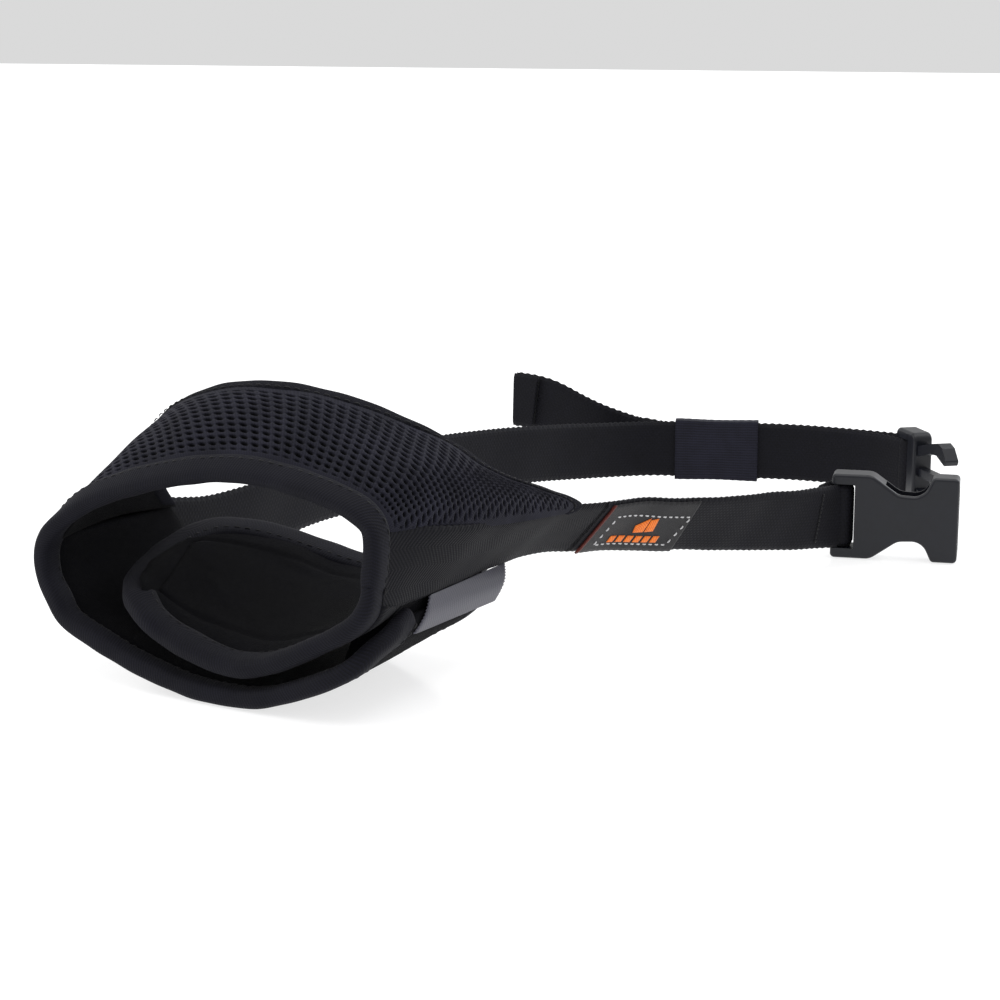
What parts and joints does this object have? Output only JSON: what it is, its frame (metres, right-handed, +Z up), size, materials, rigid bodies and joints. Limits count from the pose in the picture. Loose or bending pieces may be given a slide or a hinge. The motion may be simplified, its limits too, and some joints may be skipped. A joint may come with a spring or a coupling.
{
  "type": "dog muzzle",
  "caption": "Soft mesh loop muzzle for a dog: nose loop with a wrap-around chin flap closed by hook tape, and a webbing neck strap with a side-release buckle.",
  "frame": {"origin": "on the table, in the middle of the flat under the chin flap", "axes": "+Z up from the table, +Y from the nose opening towards the dog's neck, +X the dog's left"},
  "size_m": [0.1922, 0.3216, 0.076],
  "materials": {
    "air_mesh": "matte spacer mesh",
    "lining": "matte short pile",
    "binding": "matte ribbed tape",
    "webbing": "matte ribbed weave",
    "hook_tape": "slightly glossy hook and loop",
    "label_weave": "satin weave",
    "white_thread": "thread",
    "dark_thread": "thread",
    "orange_thread": "thread",
    "elastic": "matte ribbed elastic",
    "buckle_plastic": "satin"
  },
  "bodies": {
    "muzzle": {"top_mesh_panel": "air_mesh", "top_panel_lining": "lining", "rear_hem": "binding", "front_binding": "binding", "right_side_panel": "lining", "inner_chin_flap": "lining", "inner_flap_binding": "binding", "loop_tape": "hook_tape", "left_side_webbing": "webbing", "right_side_webbing": "webbing"},
    "chin_flap": {"outer_chin_flap": "lining", "outer_flap_front_binding": "binding", "outer_flap_rear_binding": "binding", "hook_tape_tab": "hook_tape", "hook_pile": "hook_tape"},
    "left_strap": {"left_strap_webbing": "webbing", "left_strap_loop": "webbing", "strap_bar_tack": "dark_thread", "woven_label": "label_weave", "label_stitching": "white_thread", "label_emblem": "orange_thread"},
    "buckle_socket": {"buckle_socket": "buckle_plastic"},
    "right_strap": {"right_strap_webbing": "webbing", "right_strap_return": "webbing"},
    "keeper": {"elastic_keeper": "elastic"},
    "strap_tail": {"strap_tail_webbing": "webbing", "tail_end_fold": "webbing", "tail_end_stitch": "dark_thread"},
    "buckle_plug": {"buckle_plug": "buckle_plastic"},
    "upper_latch_arm": {"upper_latch_arm": "buckle_plastic"},
    "lower_latch_arm": {"lower_latch_arm": "buckle_plastic"}
  },
  "joints": [
    {"name": "chin_flap_fold", "type": "hinge", "parent": "muzzle", "child": "chin_flap", "pos_m": [-0.0502, 0, 0.0172], "axis": [0, 1, 0], "range_deg": [0, 70]},
    {"name": "left_strap_swing", "type": "hinge", "parent": "muzzle", "child": "left_strap", "pos_m": [0.049, 0.0786, 0.029], "axis": [0, 0, 1], "range_deg": [-25, 25]},
    {"name": "socket_turn", "type": "hinge", "parent": "left_strap", "child": "buckle_socket", "pos_m": [0.07679, 0.20054, 0.0135], "axis": [0, 0, 1], "range_deg": [-20, 20]},
    {"name": "right_strap_swing", "type": "hinge", "parent": "muzzle", "child": "right_strap", "pos_m": [-0.0542, 0.0768, 0.025], "axis": [0, 0, 1], "range_deg": [-12, 30]},
    {"name": "keeper_slide", "type": "slide", "parent": "right_strap", "child": "keeper", "axis": [0.9301, 0.3674, 0], "range_m": [-0.006, 0.005]},
    {"name": "tail_swing", "type": "hinge", "parent": "right_strap", "child": "strap_tail", "pos_m": [-0.0262, 0.2727, 0.0135], "axis": [0, 0, -1], "range_deg": [0, 45]},
    {"name": "plug_turn", "type": "hinge", "parent": "right_strap", "child": "buckle_plug", "pos_m": [0.06933, 0.28579, 0.0135], "axis": [0, 0, 1], "range_deg": [-20, 20]},
    {"name": "upper_latch_flex", "type": "hinge", "parent": "buckle_plug", "child": "upper_latch_arm", "pos_m": [0.07738, 0.27716, 0.021], "axis": [0.7314, 0.682, 0], "range_deg": [0, 9], "stiffness_Nm_per_rad": 0.05},
    {"name": "lower_latch_flex", "type": "hinge", "parent": "buckle_plug", "child": "lower_latch_arm", "pos_m": [0.07738, 0.27716, 0.006], "axis": [-0.7314, -0.682, 0], "range_deg": [0, 9], "stiffness_Nm_per_rad": 0.05}
  ]
}
